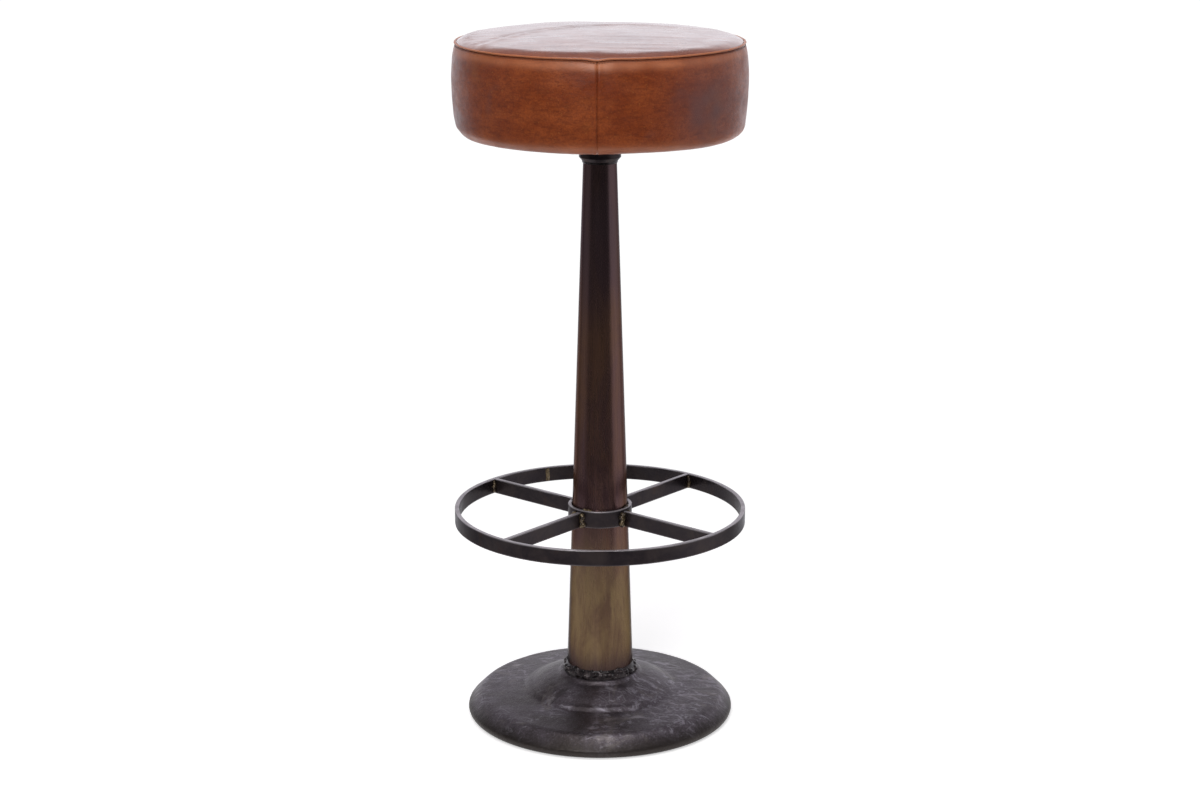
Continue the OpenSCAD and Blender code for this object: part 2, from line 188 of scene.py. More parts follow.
class Finish:
    """A procedural material under construction."""

    def __init__(self, name):
        self.material = bpy.data.materials.new(name)
        self.material.use_nodes = True
        self.tree = self.material.node_tree
        self.shader = self.tree.nodes["Principled BSDF"]
        self.place = self.tree.nodes.new("ShaderNodeTexCoord").outputs["Object"]

    def set(self, **values):
        for name, value in values.items():
            self.shader.inputs[name.replace("_", " ")].default_value = value

    def feed(self, socket, output):
        self.tree.links.new(output, self.shader.inputs[socket])

    def node(self, kind, inputs=None, **settings):
        made = self.tree.nodes.new(kind)
        for name, value in settings.items():
            setattr(made, name, value)
        for name, value in (inputs or {}).items():
            socket = made.inputs[name]
            if isinstance(value, bpy.types.NodeSocket):
                self.tree.links.new(value, socket)
            else:
                socket.default_value = value
        return made

    def stretched(self, scale, turn=(0, 0, 0)):
        return self.node("ShaderNodeMapping", {"Vector": self.place, "Scale": scale,
                                               "Rotation": turn}).outputs[0]

    def noise(self, scale, detail=4, roughness=0.55, distortion=0.0, place=None):
        return self.node("ShaderNodeTexNoise", {
            "Vector": place or self.place, "Scale": scale, "Detail": detail,
            "Roughness": roughness, "Distortion": distortion}).outputs["Fac"]

    def cells(self, scale, feature="F1", place=None, randomness=1.0):
        return self.node("ShaderNodeTexVoronoi", {
            "Vector": place or self.place, "Scale": scale, "Randomness": randomness},
            feature=feature).outputs["Distance"]

    def steps(self, value, low, high, out_low=0.0, out_high=1.0):
        return self.node("ShaderNodeMapRange", {
            "Value": value, "From Min": low, "From Max": high, "To Min": out_low,
            "To Max": out_high}, interpolation_type="SMOOTHSTEP").outputs[0]

    def sum(self, a, b, operation="ADD"):
        return self.node("ShaderNodeMath", {0: a, 1: b}, operation=operation).outputs[0]

    def blend(self, factor, a, b, mode="MIX"):
        mixed = self.node("ShaderNodeMix", data_type="RGBA", blend_type=mode)
        for index, value in ((0, factor), (6, a), (7, b)):
            if isinstance(value, bpy.types.NodeSocket):
                self.tree.links.new(value, mixed.inputs[index])
            else:
                mixed.inputs[index].default_value = value
        return mixed.outputs[2]

    def height(self):
        return self.node("ShaderNodeSeparateXYZ", {0: self.place}).outputs[2]

    def attribute(self, name):
        return self.node("ShaderNodeAttribute", attribute_name=name).outputs["Fac"]

    def bump(self, value, depth, under=None, strength=1.0):
        inputs = {"Height": value, "Distance": depth, "Strength": strength}
        if under is not None:
            inputs["Normal"] = under
        return self.node("ShaderNodeBump", inputs).outputs[0]


def colour(red, green, blue):
    """A colour given as it looks on screen, 0 to 255, turned into light."""
    def light(value):
        value /= 255
        return value / 12.92 if value <= 0.04045 else ((value + 0.055) / 1.055) ** 2.4
    return (light(red), light(green), light(blue), 1.0)


def wear(piece, material):
    """Gives a piece its material."""
    piece.data.materials.clear()
    piece.data.materials.append(material)
    return piece


# ---------------------------------------------------------------- finishes

def waxed_leather(name, glossy=False):
    """Saddle-tan leather, rubbed with wax: mottled across, fine grain, with painted shade in its
    creases and lighter where rubbed, partly as a painted highlight.
    """
    f = Finish(name)
    clouds = f.noise(1.0, 3, 0.6, 0.6, f.stretched((14, 14, 24)))
    streaks = f.noise(1.0, 6, 0.7, 0.4, f.stretched((70, 70, 260)))
    mottle = f.noise(1.0, 5, 0.7, 0.5, f.stretched((190, 190, 250)))
    tan = f.blend(f.steps(clouds, 0.34, 0.66), colour(132, 58, 26), colour(158, 78, 38))
    tan = f.blend(f.steps(streaks, 0.42, 0.72, 0, 0.6), tan, colour(98, 42, 22))
    tan = f.blend(f.steps(mottle, 0.42, 0.72, 0, 0.5), tan, colour(98, 42, 24))
    pebbles = f.noise(480, 4, 0.75)
    tan = f.blend(f.steps(pebbles, 0.45, 0.62, 0, 0.4), tan, colour(100, 44, 24))
    plum = f.noise(1.0, 2, 0.5, 0.4, f.stretched((15, 15, 22), (0.4, 0.2, 1.3)))
    tan = f.blend(f.steps(plum, 0.56, 0.72, 0, 0.5), tan, colour(108, 68, 62))
    amber = f.noise(1.0, 2, 0.5, 0.2, f.stretched((17, 17, 12), (1.1, 0.3, 0.2)))
    tan = f.blend(f.steps(amber, 0.56, 0.74, 0, 0.5), tan, colour(146, 82, 34))
    flecks = f.noise(430, 3, 0.7)
    tan = f.blend(f.steps(flecks, 0.60, 0.74, 0, 0.55), tan, colour(176, 108, 56))
    # painted shade: darker in the creases, the seam grooves and the pleats turned under the seat
    tan = f.blend(f.attribute("crease_shade"), tan, colour(58, 26, 17), "MIX")
    # lighter where rubbed: partly wear, partly a painted highlight under the top seam and on the
    # lip
    tan = f.blend(f.attribute("rub_and_highlight"), tan, colour(204, 130, 92), "MIX")
    tan = f.blend(f.attribute("stain"), tan, colour(104, 66, 62))
    if glossy:
        tan = f.blend(0.3, tan, colour(96, 52, 44))
    f.feed("Base Color", tan)
    pebble = f.cells(900, place=f.place)
    pores = f.noise(1500, 3, 0.7)
    grain = f.sum(f.steps(pebble, 0.0, 0.75), f.sum(pores, 0.35, "MULTIPLY"))
    creases = f.noise(1.0, 6, 0.7, 1.2, f.stretched((120, 120, 260)))
    level = f.bump(f.sum(creases, 0.5, "POWER"), 0.35 * MM)
    level = f.bump(grain, 0.07 * MM, level, 0.8)
    f.feed("Normal", level)
    shine = f.noise(1.0, 4, 0.6, 0.5, f.stretched((30, 30, 60)))
    smooth, dull = (0.26, 0.38) if glossy else (0.32, 0.46)
    f.feed("Roughness", f.steps(shine, 0.3, 0.7, smooth, dull))
    f.set(Specular_IOR_Level=0.6 if glossy else 0.24, Coat_Weight=0.9 if glossy else 0.08,
          Coat_Roughness=0.2 if glossy else 0.25, Coat_IOR=1.5)
    return f.material


def patina_steel():
    """Steel browned with a patina and lacquered, with drawn streaks down the tube; darker up top
    and olive low down, partly patina and partly painted reflection.
    """
    f = Finish("patina_steel")
    z = f.height()
    cloud = f.noise(1.0, 4, 0.6, 0.5, f.stretched((22, 22, 5)))
    streak = f.noise(1.0, 5, 0.7, 0.1, f.stretched((420, 420, 5)))
    brown = f.blend(f.steps(cloud, 0.35, 0.68), colour(94, 70, 72), colour(112, 82, 64))
    brown = f.blend(f.steps(streak, 0.4, 0.75, 0, 0.3), brown, colour(66, 48, 42))
    # darker, purpler upper tube: partly patina, partly a painted reflection of the dim room in
    # front
    high = f.steps(z, 0.42, 0.60)
    brown = f.blend(f.sum(high, 0.7, "MULTIPLY"), brown, colour(78, 64, 68))
    # olive tube below the footrest: partly patina, partly a painted reflection of the pale floor
    lower = f.steps(f.sum(z, f.sum(cloud, 0.10, "MULTIPLY")), 0.30, 0.20)
    olive = f.blend(f.steps(f.noise(1.0, 4, 0.65, 0.6, f.stretched((44, 44, 12))), 0.3, 0.72),
                    colour(112, 93, 64), colour(80, 60, 46))
    scored = f.noise(1.0, 5, 0.75, 0.2, f.stretched((330, 330, 60)))
    olive = f.blend(f.steps(scored, 0.60, 0.70, 0, 0.6), olive, colour(48, 36, 32))
    brown = f.blend(f.sum(lower, 0.9, "MULTIPLY"), brown, olive)
    heat = f.steps(f.sum(z, f.sum(cloud, 0.05, "MULTIPLY")), 0.118, 0.08)
    brown = f.blend(f.sum(heat, 0.85, "MULTIPLY"), brown, colour(56, 40, 44))
    specks = f.noise(260, 3, 0.6)
    brown = f.blend(f.steps(specks, 0.3, 0.16, 0, 0.6), brown, colour(34, 25, 23))
    f.feed("Base Color", brown)
    f.feed("Roughness", f.steps(f.sum(cloud, streak, "ADD"), 0.7, 1.3, 0.2, 0.34))
    scuff = f.noise(1.0, 6, 0.7, 0.4, f.stretched((300, 300, 18)))
    f.feed("Normal", f.bump(scuff, 0.05 * MM, f.bump(cloud, 0.6 * MM), 0.6))
    f.set(Metallic=0.9, Specular_Tint=(0.3, 0.3, 0.3, 1), Coat_Weight=0.12, Coat_Roughness=0.12)
    return f.material


def black_bar():
    """Hot-rolled flat bar, blackened and thinly lacquered, rubbed bright along its edges."""
    f = Finish("black_bar")
    scale = f.noise(38, 5, 0.65, 0.6)
    base = f.blend(f.steps(scale, 0.35, 0.7), colour(42, 36, 40), colour(58, 50, 50))
    rust = f.noise(24, 3, 0.6, 0.3)
    base = f.blend(f.steps(rust, 0.58, 0.74, 0, 0.5), base, colour(70, 50, 42))
    drawn = f.noise(1.0, 4, 0.6, 0.0, f.stretched((60, 60, 900)))
    base = f.blend(f.steps(drawn, 0.35, 0.2, 0, 0.4), base, colour(30, 26, 30))
    tempered = f.steps(f.noise(160, 3, 0.6), 0.35, 0.6, 0.3, 1.0)
    base = f.blend(f.sum(f.attribute("heat"), tempered, "MULTIPLY"), base, colour(104, 76, 56))
    base = f.blend(f.attribute("rub_and_highlight"), base, colour(206, 200, 204))
    f.feed("Base Color", base)
    f.feed("Roughness", f.steps(scale, 0.3, 0.7, 0.3, 0.46))
    pits = f.noise(700, 4, 0.7)
    f.feed("Normal", f.bump(pits, 0.05 * MM, f.bump(scale, 0.35 * MM), 0.7))
    f.set(Metallic=0.75, Specular_Tint=(0.4, 0.4, 0.4, 1), Coat_Weight=0.1, Coat_Roughness=0.2)
    return f.material


def weld_metal(name, light, dark):
    """Unground weld: lumpy, scaled and coloured by its heat, with painted glints."""
    f = Finish(name)
    patch = f.noise(170, 4, 0.6, 0.4)
    base = f.blend(f.steps(patch, 0.36, 0.66), dark, light)
    # painted highlight: small bright glints on the bead
    glint = f.noise(420, 2, 0.5)
    base = f.blend(f.steps(glint, 0.66, 0.75, 0, 0.8), base, colour(170, 165, 160))
    f.feed("Base Color", base)
    f.feed("Roughness", f.steps(patch, 0.3, 0.7, 0.26, 0.5))
    f.feed("Normal", f.bump(f.noise(600, 4, 0.7), 0.12 * MM))
    f.set(Metallic=0.7, Coat_Weight=0.2, Coat_Roughness=0.15)
    return f.material


def cast_iron():
    """Rough as-cast iron under dark wax, scuffed pale where it is rubbed, with painted shade
    darkening the rim towards the floor.
    """
    f = Finish("cast_iron")
    z = f.height()
    sand = f.noise(420, 6, 0.8)
    cloud = f.noise(16, 5, 0.62, 0.7)
    base = f.blend(f.steps(cloud, 0.34, 0.68), colour(70, 62, 64), colour(104, 96, 104))
    scuff = f.noise(1.0, 7, 0.72, 2.2, f.stretched((34, 62, 40), (0, 0, 0.5)))
    scuff_zone = f.noise(13, 2, 0.5, 0.3)
    scuffs = f.sum(f.steps(scuff, 0.50, 0.62), f.steps(scuff_zone, 0.40, 0.55), "MULTIPLY")
    base = f.blend(f.steps(sand, 0.42, 0.62, 0, 0.45), base, colour(42, 36, 36))
    base = f.blend(f.steps(sand, 0.44, 0.34, 0, 0.35), base, colour(150, 147, 158))
    scratch = f.cells(46, "DISTANCE_TO_EDGE", f.stretched((1, 1.7, 0.4), (0, 0, 0.7)))
    scratches = f.sum(f.steps(scratch, 0.035, 0.012), f.steps(cloud, 0.5, 0.62), "MULTIPLY")
    base = f.blend(f.sum(scratches, 0.3, "MULTIPLY"), base, colour(166, 160, 168))
    base = f.blend(f.sum(scuffs, 0.55, "MULTIPLY"), base, colour(172, 166, 176))
    rubbed = f.noise(26, 4, 0.65, 0.8)
    base = f.blend(f.steps(rubbed, 0.55, 0.72, 0, 0.5), base, colour(132, 124, 120))
    stain = f.noise(30, 4, 0.7, 0.5)
    base = f.blend(f.steps(stain, 0.58, 0.7, 0, 0.5), base, colour(44, 38, 37))
    # painted shade: the rim is darkened towards the floor
    low = f.steps(f.sum(z, f.sum(cloud, 0.012, "MULTIPLY")), 0.030, 0.015)
    base = f.blend(f.sum(low, 0.92, "MULTIPLY"), base, colour(44, 38, 34))
    f.feed("Base Color", base)
    f.feed("Roughness", f.steps(cloud, 0.3, 0.7, 0.3, 0.46))
    lumpy = f.noise(75, 3, 0.6)
    level = f.bump(lumpy, 0.9 * MM)
    f.feed("Normal", f.bump(sand, 0.4 * MM, level, 1.0))
    f.set(Metallic=0.7, Specular_IOR_Level=0.6, Specular_Tint=(0.6, 0.6, 0.6, 1),
          Coat_Weight=0.12, Coat_Roughness=0.3)
    return f.material


def plain_metal(name, light, dark, metallic=0.9, rough=(0.25, 0.4), scale=200, turn_marks=False):
    """Machined or plated metal with fine marks."""
    f = Finish(name)
    marks = f.noise(1.0, 4, 0.6, 0.0, f.stretched((60, 60, 2500) if turn_marks else (scale,) * 3))
    f.feed("Base Color", f.blend(f.steps(marks, 0.3, 0.7), dark, light))
    f.feed("Roughness", f.steps(marks, 0.3, 0.7, *rough))
    f.feed("Normal", f.bump(marks, 0.03 * MM))
    f.set(Metallic=metallic)
    return f.material


def rubber():
    f = Finish("moulded_rubber")
    grit = f.noise(900, 3, 0.6)
    f.feed("Base Color", f.blend(f.steps(grit, 0.3, 0.7), colour(24, 23, 23), colour(44, 42, 41)))
    f.feed("Roughness", f.steps(grit, 0.3, 0.7, 0.7, 0.9))
    f.feed("Normal", f.bump(grit, 0.08 * MM))
    return f.material


def plywood():
    f = Finish("birch_plywood")
    plies = f.node("ShaderNodeTexWave", {"Vector": f.place, "Scale": 55.0, "Distortion": 0.4},
                   bands_direction="Z").outputs["Fac"]
    figure = f.noise(1.0, 5, 0.6, 1.0, f.stretched((12, 160, 40)))
    wood = f.blend(f.steps(figure, 0.3, 0.7), colour(178, 134, 86), colour(208, 170, 120))
    f.feed("Base Color", f.blend(f.steps(plies, 0.4, 0.6, 0, 0.4), wood, colour(140, 98, 60)))
    f.feed("Roughness", f.steps(figure, 0.3, 0.7, 0.6, 0.75))
    f.feed("Normal", f.bump(figure, 0.1 * MM))
    return f.material


def foam():
    f = Finish("upholstery_foam")
    pores = f.cells(700)
    f.feed("Base Color", f.blend(f.steps(pores, 0.1, 0.6), colour(196, 184, 138),
                                 colour(232, 222, 184)))
    f.feed("Normal", f.bump(pores, 0.4 * MM))
    f.set(Roughness=0.95, Sheen_Weight=0.2)
    return f.material


def dust_cloth():
    """Black non-woven cloth with its pattern of small bonded dots."""
    f = Finish("dust_cloth")
    fibre = f.noise(1.0, 5, 0.8, 2.0, f.stretched((900, 900, 200)))
    dots = f.cells(650, place=f.place, randomness=0.12)
    dark = f.blend(f.steps(fibre, 0.3, 0.7), colour(20, 20, 21), colour(46, 46, 48))
    f.feed("Base Color", f.blend(f.steps(dots, 0.22, 0.12, 0, 0.7), dark, colour(14, 14, 15)))
    f.feed("Normal", f.bump(f.steps(dots, 0.1, 0.3), 0.12 * MM, f.bump(fibre, 0.08 * MM)))
    f.set(Roughness=0.85, Sheen_Weight=0.3, Sheen_Roughness=0.5)
    return f.material


def waxed_thread():
    f = Finish("waxed_thread")
    twist = f.noise(1800, 2, 0.5)
    f.feed("Base Color", f.blend(f.steps(twist, 0.3, 0.7), colour(84, 42, 26),
                                 colour(132, 76, 46)))
    f.feed("Normal", f.bump(twist, 0.06 * MM))
    f.set(Roughness=0.55, Sheen_Weight=0.2)
    return f.material


SIDE_LEATHER = waxed_leather("side_leather")
TOP_LEATHER = waxed_leather("top_leather", glossy=True)
PATINA = patina_steel()
BLACK_BAR = black_bar()
DARK_WELD = weld_metal("dark_weld", colour(60, 51, 52), colour(26, 21, 23))
KHAKI_WELD = weld_metal("khaki_weld", colour(118, 102, 76), colour(52, 42, 36))
CAST_IRON = cast_iron()
BRONZE = plain_metal("bearing_bronze", colour(196, 152, 84), colour(150, 108, 56), turn_marks=True)
BRIGHT = plain_metal("turned_steel", colour(176, 176, 174), colour(120, 120, 120), turn_marks=True)
ZINC = plain_metal("zinc_plate", colour(196, 200, 204), colour(150, 154, 160), scale=320)


# ---------------------------------------------------------------- seat

def side_radius(z):
    """Radius of the seat's side above its rounded bottom edge."""
    low = UNDER_Z + EDGE_ROUND
    wide = SEAM_Z - 0.37 * (SEAM_Z - UNDER_Z)
    if z < wide:
        return SEAT_R - SIDE_INSET * ((wide - z) / (wide - low)) ** 2
    return SEAT_R - (SEAT_R - SEAM_R) * ((z - wide) / (SEAM_Z - wide)) ** 2


def side_section(under_steps=UNDER_STEPS, round_steps=12, side_steps=66):
    """Points from the edge turned under the seat, round the bottom edge and up to the seam."""
    foot_r = SEAT_R - SIDE_INSET - EDGE_ROUND
    under = [(TURN_R + (foot_r - TURN_R) * i / under_steps, UNDER_Z) for i in range(under_steps)]
    rounded = []
    for i in range(round_steps):
        a = math.radians(-90 + 90 * i / round_steps)
        rounded.append((foot_r + EDGE_ROUND * math.cos(a),
                        UNDER_Z + EDGE_ROUND * (1 + math.sin(a))))
    low = UNDER_Z + EDGE_ROUND
    top = SEAM_Z - 0.6 * LIP_R
    side = [(side_radius(low + (top - low) * (i / side_steps) ** 0.9),
             low + (top - low) * (i / side_steps) ** 0.9) for i in range(side_steps + 1)]
    tuck = [(side[-1][0] - 1.6 * MM, top + 0.2 * MM), (side[-1][0] - 4 * MM, top - 0.2 * MM)]
    return under + rounded + side + tuck


def seam_dip(angle):
    """How far the top seam dips where a side seam meets it."""
    near = min(abs(angle_apart(angle, FRONT_SEAM)), abs(angle_apart(angle, FRONT_SEAM + math.pi)))
    return 1.6 * MM * ridge(near * SEAM_R, 9 * MM)


def side_sculpt(point):
    """Moves a point of the side band in or out, and says how much painted crease shade it gets."""
    angle = math.atan2(point.y, point.x)
    radius = math.hypot(point.x, point.y)
    z = point.z
    seam_away = min(abs(angle_apart(angle, FRONT_SEAM)),
                    abs(angle_apart(angle, FRONT_SEAM + math.pi))) * radius
    below = SEAM_Z - z
    height = (z - UNDER_Z) / (SEAM_Z - UNDER_Z)
    out, crease_shade = 0.0, 0.0

    out -= 1.6 * MM * ridge(below, 2.2 * MM)
    out += 0.5 * MM * ridge(below - 11 * MM, 7 * MM)
    # painted shade in the groove under the lip
    crease_shade += 0.8 * ridge(below - 0.9 * MM, 1.1 * MM)
    pucker = 0.5 + 0.5 * bump_noise((math.cos(angle), math.sin(angle), 0), 0.06, 3.0)
    out += 0.2 * MM * pucker * math.sin(angle * 131) * math.exp(-below / (6 * MM))

    out -= 0.55 * MM * ridge(seam_away, 0.8 * MM)
    out += 0.35 * MM * ridge(seam_away - 2.2 * MM, 1.8 * MM) * (0.8 + 0.5 * bump_noise(
        point, 0.012, 5.0))
    out -= 0.25 * MM * ridge(seam_away - 9 * MM, 5 * MM)
    # painted shade along the side seam
    crease_shade += 0.12 * ridge(seam_away, 0.5 * MM)

    out += 0.75 * MM * bump_noise((math.cos(angle), math.sin(angle), z * 5), 0.5, 1.0)
    ripple = bump_noise((math.cos(angle) * 0.25, math.sin(angle) * 0.25, z * 2.6), 0.035, 2.0)
    out += 0.28 * MM * ripple * math.exp(-((height - 0.8) / 0.3) ** 2)
    out += 0.12 * MM * bump_noise(point, 0.009, 7.0)

    foot_r = SEAT_R - SIDE_INSET - EDGE_ROUND
    turned = max(0.0, min(1.0, (foot_r + 4 * MM - radius) / (14 * MM)))
    pleat = 1 - abs(bump_noise((math.cos(angle) * 3.4, math.sin(angle) * 3.4, 0), 0.11, 4.0)) * 2.4
    pleat = max(0.0, pleat) ** 2
    out -= 0.5 * MM * (1 - pleat) * turned
    # painted shade in the pleats turned under the seat
    crease_shade += 0.5 * (1 - pleat) * turned

    left = ridge(angle_apart(angle, math.radians(197)), 0.85)
    soft = max(0.0, 1 - (z - UNDER_Z) / (26 * MM))
    past_board = max(0.0, min(1.0, (radius - BOARD_R - 1 * MM) / (6 * MM)))
    out -= 3.0 * MM * left * soft ** 2 * past_board
    if radius < BOARD_R + 2 * MM:
        out = max(out, -0.45 * MM)
    return out, min(1.0, crease_shade)


def add_value(piece, name, values):
    """Stores one number for each vertex, for the piece's material to read."""
    layer = piece.data.attributes.new(name, "FLOAT", "POINT")
    layer.data.foreach_set("value", values)


def thicken(piece, depth):
    """Gives a skin its thickness, inwards."""
    solid = piece.modifiers.new("thickness", "SOLIDIFY")
    solid.thickness = depth
    solid.offset = -1
    solid.use_even_offset = False
    return piece


def side_band(name, first, replaced):
    """Half of the seat's side, from the front seam to the back seam."""
    bm = spun(side_section(), 300, angle=math.pi, start=FRONT_SEAM + first)
    bmesh.ops.recalc_face_normals(bm, faces=bm.faces)
    middle = Vector((0, 0, (UNDER_Z + SEAM_Z) / 2))
    if sum((f.calc_center_median() - middle).dot(f.normal) * f.calc_area() for f in bm.faces) < 0:
        bmesh.ops.reverse_faces(bm, faces=bm.faces)
    shade_highlight_and_stain = []
    ends = [e for e in bm.edges if e.is_boundary and all(
        abs(math.sin(math.atan2(v.co.y, v.co.x) - FRONT_SEAM)) < 0.001 for v in e.verts)]
    for vert in bm.verts:
        out, crease_shade = side_sculpt(vert.co)
        radius = math.hypot(vert.co.x, vert.co.y)
        bottom = min(1.0, (vert.co.z - UNDER_Z) / EDGE_ROUND)
        outwards = Vector((vert.co.x / radius * bottom, vert.co.y / radius * bottom, bottom - 1))
        dip = seam_dip(math.atan2(vert.co.y, vert.co.x)) * max(0.0, 1 - (SEAM_Z - vert.co.z) / 0.02)
        vert.co += outwards.normalized() * out - Vector((0, 0, dip))
        # lightened band under the top seam, strongest at the front, and along the bottom edge:
        # partly rubbed wear, partly a painted highlight
        near_front = ridge(angle_apart(math.atan2(vert.co.y, vert.co.x), FRONT_SEAM), 0.4)
        worn_and_highlight = (0.45 + 0.35 * near_front) * ridge(SEAM_Z - vert.co.z - 6.5 * MM, 5 * MM)
        worn_and_highlight += 0.55 * ridge(vert.co.z - UNDER_Z - 5 * MM, 6 * MM)
        bloom = ridge((vert.co - STAIN).length, 38 * MM)
        shade_highlight_and_stain.append((crease_shade, worn_and_highlight * (0.8 + 0.4 * bump_noise(vert.co, 0.02, 8.0)),
                      bloom * (0.75 + 0.5 * bump_noise(vert.co, 0.016, 5.0))))
    turned_in = bmesh.ops.extrude_edge_only(bm, edges=ends)["geom"]
    for vert in [item for item in turned_in if isinstance(item, bmesh.types.BMVert)]:
        inwards = (middle - vert.co).normalized()
        vert.co += inwards * SEAM_ALLOWANCE
        # painted shade on the seam allowance turned inside
        shade_highlight_and_stain.append((0.6, 0.0, 0.0))
    bm.verts.index_update()
    mesh = bpy.data.meshes.new(name)
    bm.to_mesh(mesh)
    bm.free()
    mesh.shade_smooth()
    piece = bpy.data.objects.new(name, mesh)
    bpy.context.scene.collection.objects.link(piece)
    add_value(piece, "crease_shade", [v[0] for v in shade_highlight_and_stain])
    add_value(piece, "rub_and_highlight", [v[1] for v in shade_highlight_and_stain])
    add_value(piece, "stain", [v[2] for v in shade_highlight_and_stain])
    thicken(piece, LEATHER)
    wear(piece, SIDE_LEATHER)
    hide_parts(replaced)
    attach(piece, "seat")
    return piece


def crown(radius):
    """Height of the top over the seam at a radius: a rounded shoulder and a low crown."""
    shoulder = SHOULDER_R * (math.sin(SHOULDER_SLOPE) - math.sin(DOME_SLOPE))
    inwards = SEAM_R - radius
    if inwards < shoulder:
        slope = math.asin(math.sin(SHOULDER_SLOPE) - max(0.0, inwards) / SHOULDER_R)
        return SHOULDER_R * (math.cos(slope) - math.cos(SHOULDER_SLOPE))
    rise = SHOULDER_R * (math.cos(DOME_SLOPE) - math.cos(SHOULDER_SLOPE))
    dome_r = SEAM_R - shoulder
    return rise + (CROWN_Z - SEAM_Z - rise) * (1 - (radius / dome_r) ** 2)


def top_sculpt(x, y):
    """Height added to the top: a long crease, fine wrinkles and crumples near the left edge."""
    radius = math.hypot(x, y)
    inside = max(0.0, min(1.0, (SEAM_R - radius) / (14 * MM)))
    lift = 0.9 * MM * bump_noise((x, y, 0), 0.09, 1.0)
    bow = (y - (0.0866 + 0.365 * x - 6.32 * x ** 2)) / (1 + abs(0.365 - 12.64 * x))
    along = max(0.0, 1 - abs(x + 0.02) / 0.13)
    lift -= 1.8 * MM * ridge(bow, 4.0 * MM) * along ** 0.5
    lift += 1.4 * MM * ridge(bow + 7 * MM, 5 * MM) * along ** 0.5
    across = bump_noise((x * 0.35, y * 2.2, 0), 0.028, 6.0)
    lift += 0.35 * MM * across
    left = ridge(angle_apart(math.atan2(y, x), math.radians(186)), 0.5)
    rim = ridge(SEAM_R - radius - 11 * MM, 8 * MM)
    crumple = abs(bump_noise((x, y, 0), 0.010, 9.0))
    lift += 1.6 * MM * left * rim * (crumple - 0.3)
    return lift * inside


def top_leather():
    """The round top panel."""
    rings = 84
    section = []
    for i in range(rings + 1):
        share = 1 - (1 - i / rings) ** 1.6
        radius = (SEAM_R - 2.0 * MM) * share
        section.append((radius, SEAM_Z + crown(radius)))
    section.append((SEAM_R - 1.5 * MM, SEAM_Z + 0.6 * MM))
    section.append((SEAM_R - 1.3 * MM, SEAM_Z - 0.6 * MM))
    bm = spun(section, 360)
    for vert in bm.verts:
        x, y = vert.co.x, vert.co.y
        vert.co.z += top_sculpt(x, y)
        edge = max(0.0, 1 - (SEAM_R - math.hypot(x, y)) / 0.02)
        vert.co.z -= seam_dip(math.atan2(y, x)) * edge
    piece = finish_piece("seat_top", bm, sharp=math.pi)
    values = []
    for vert in piece.data.vertices:
        away = SEAM_R - math.hypot(vert.co.x, vert.co.y)
        # painted shade in the groove at the top's edge, and lighter just inside it where rubbed
        values.append((0.6 * ridge(away, 1.2 * MM), 0.1 * ridge(away - 4 * MM, 4 * MM)))
    add_value(piece, "crease_shade", [v[0] for v in values])
    add_value(piece, "rub_and_highlight", [v[1] for v in values])
    thicken(piece, LEATHER)
    wear(piece, TOP_LEATHER)
    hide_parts("top_panel")
    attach(piece, "seat")
    return piece


def seam_lip():
    """The folded edges of the two leathers, standing proud along the top seam."""
    sides = 10
    circle = [(SEAM_R + 0.2 * MM + LIP_R * 0.82 * math.cos(TURN * i / sides),
               SEAM_Z + 0.3 * MM + LIP_R * 0.72 * math.sin(TURN * i / sides))
              for i in range(sides)]
    bm = spun(circle, 540, closed=True)
    for vert in bm.verts:
        angle = math.atan2(vert.co.y, vert.co.x)
        swell = 1 + 0.16 * bump_noise((math.cos(angle), math.sin(angle), 0), 0.03, 2.0)
        middle = Vector((SEAM_R * math.cos(angle), SEAM_R * math.sin(angle), SEAM_Z))
        vert.co = middle + (vert.co - middle) * swell
        vert.co.z += 0.25 * MM * bump_noise((math.cos(angle), math.sin(angle), 0), 0.12, 8.0)
        vert.co.z -= seam_dip(angle)
    piece = finish_piece("seat_lip", bm, sharp=math.pi)
    add_value(piece, "crease_shade", [0.0] * len(piece.data.vertices))
    # the whole lip is lightened: partly rubbed wear, partly a painted highlight
    add_value(piece, "rub_and_highlight", [0.6] * len(piece.data.vertices))
    wear(piece, SIDE_LEATHER)
    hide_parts("seam_lip")
    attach(piece, "seat")
    return piece


def seam_stitches():
    """Short waxed stitches all along the band, just under the lip."""
    pitch = 2.9 * MM
    count = round(TURN * SEAM_R / pitch)
    length = 2.1 * MM
    bm = bmesh.new()
    for i in range(count):
        angle = TURN * i / count + random.uniform(-0.0008, 0.0008)
        below = 2.7 * MM
        z = SEAM_Z - below - seam_dip(angle)
        place = Vector((math.cos(angle), math.sin(angle), 0)) * side_radius(z)
        place.z = z
        out, _ = side_sculpt(place)
        place += Vector((math.cos(angle), math.sin(angle), 0)) * (out + 0.05 * MM)
        lean = Matrix.Rotation(random.uniform(0.06, 0.16), 4, "X")
        move = Matrix.Translation(place) @ Matrix.Rotation(angle, 4, "Z") @ lean
        move = move @ Matrix.Diagonal((0.3 * MM, length / 2, 0.32 * MM, 1))
        bmesh.ops.create_uvsphere(bm, u_segments=8, v_segments=6, radius=1,
                                  matrix=move @ Matrix.Rotation(math.pi / 2, 4, "X"))
    piece = finish_piece("seam_stitches", bm, sharp=math.pi)
    wear(piece, waxed_thread())
    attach(piece, "seat")
    return piece


